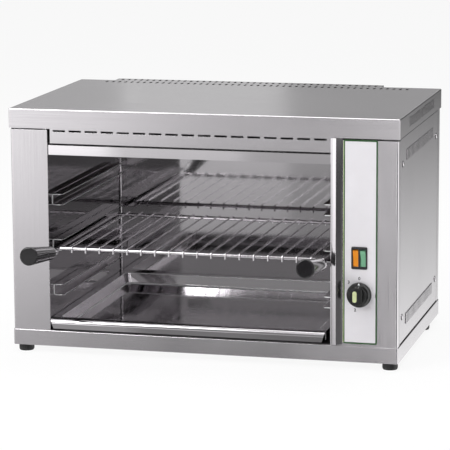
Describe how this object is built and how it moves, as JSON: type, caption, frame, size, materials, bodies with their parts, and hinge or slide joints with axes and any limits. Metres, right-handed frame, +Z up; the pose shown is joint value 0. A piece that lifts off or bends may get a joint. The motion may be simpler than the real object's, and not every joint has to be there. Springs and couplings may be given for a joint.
{
  "type": "cheese melter",
  "caption": "Countertop electric cheese melter: stainless cabinet with an open front, sliding wire rack with two black grips, drip tray, rotary selector and twin rocker switch",
  "frame": {"origin": "on the surface that the feet stand on, under the middle of the bounding box of the whole object at rest, grips and rear box included", "axes": "+X to the right as seen from the open front, along the width; +Y to the back; +Z up"},
  "size_m": [0.644, 0.5525, 0.404],
  "materials": {
    "brushed_stainless": "scotch-brite brushed stainless steel",
    "mirror_stainless": "bright annealed, mirror-like stainless steel",
    "chromed_wire": "bright plated wire",
    "element_sheath": "dull grey heat-tinted sheath",
    "black_gloss": "glossy black phenolic plastic",
    "black_matte": "black moulded plastic",
    "black_rubber": "black rubber",
    "bright_screws": "zinc-plated steel",
    "printed_label": "satin white plate with a thin dark green border",
    "orange_lens": "translucent orange lens",
    "green_lens": "translucent green lens",
    "pale_inlay": "pale yellow-green inlay",
    "white_mark": "white filled mark",
    "white_ceramic": "unglazed white ceramic"
  },
  "bodies": {
    "body": {"base_pan": "brushed_stainless", "chamber_floor": "mirror_stainless", "chamber_left_wall": "mirror_stainless", "chamber_right_wall": "mirror_stainless", "chamber_back_wall": "mirror_stainless", "left_column": "brushed_stainless", "control_fascia": "brushed_stainless", "control_post": "mirror_stainless", "control_label": "printed_label", "left_side_panel": "brushed_stainless", "right_side_panel": "brushed_stainless", "back_panel_left": "brushed_stainless", "back_panel_right": "brushed_stainless", "upright_front_left": "brushed_stainless", "upright_front_right": "brushed_stainless", "upright_rear_left": "brushed_stainless", "upright_rear_right": "brushed_stainless", "top_cover": "brushed_stainless", "rear_box": "brushed_stainless", "upper_fascia": "brushed_stainless", "heat_reflector": "mirror_stainless", "heating_element_front": "element_sheath", "heating_element_middle": "element_sheath", "heating_element_rear": "element_sheath", "element_hangers": "brushed_stainless", "guide_left_low": "mirror_stainless", "guide_left_middle": "mirror_stainless", "guide_left_high": "mirror_stainless", "guide_right_low": "mirror_stainless", "guide_right_middle": "mirror_stainless", "guide_right_high": "mirror_stainless", "rotary_selector": "black_matte", "switch_housing": "black_matte", "rocker_pin": "bright_screws", "side_screws_left": "bright_screws", "side_screws_right": "bright_screws", "rear_box_screws": "bright_screws", "foot_front_left": "black_rubber", "foot_front_right": "black_rubber", "foot_rear_left": "black_rubber", "foot_rear_right": "black_rubber", "foot_screws": "bright_screws", "foot_nuts": "bright_screws", "cable_gland": "black_matte", "terminal_block": "white_ceramic"},
    "rack": {"rack_frame": "chromed_wire", "rack_wires": "chromed_wire", "grip_left": "black_gloss", "grip_right": "black_gloss"},
    "tray": {"drip_tray": "mirror_stainless"},
    "knob": {"knob": "black_gloss", "knob_window": "pale_inlay", "knob_pointer": "white_mark", "selector_shaft": "bright_screws"},
    "rocker_orange": {"rocker_orange": "orange_lens"},
    "rocker_green": {"rocker_green": "green_lens"}
  },
  "joints": [
    {"name": "rack_slide", "type": "slide", "parent": "body", "child": "rack", "axis": [0, -1, 0], "range_m": [0, 0.25]},
    {"name": "drip_tray_slide", "type": "slide", "parent": "body", "child": "tray", "axis": [0, -1, 0], "range_m": [0, 0.35]},
    {"name": "selector_turn", "type": "hinge", "parent": "body", "child": "knob", "pos_m": [0.258, -0.13875, 0.122], "axis": [0, 1, 0], "range_deg": [0, 319]},
    {"name": "rocker_orange_tip", "type": "hinge", "parent": "body", "child": "rocker_orange", "pos_m": [0.2521, -0.13175, 0.18125], "axis": [-1, 0, 0], "range_deg": [0, 14]},
    {"name": "rocker_green_tip", "type": "hinge", "parent": "body", "child": "rocker_green", "pos_m": [0.2639, -0.13175, 0.18125], "axis": [-1, 0, 0], "range_deg": [0, 14]}
  ]
}
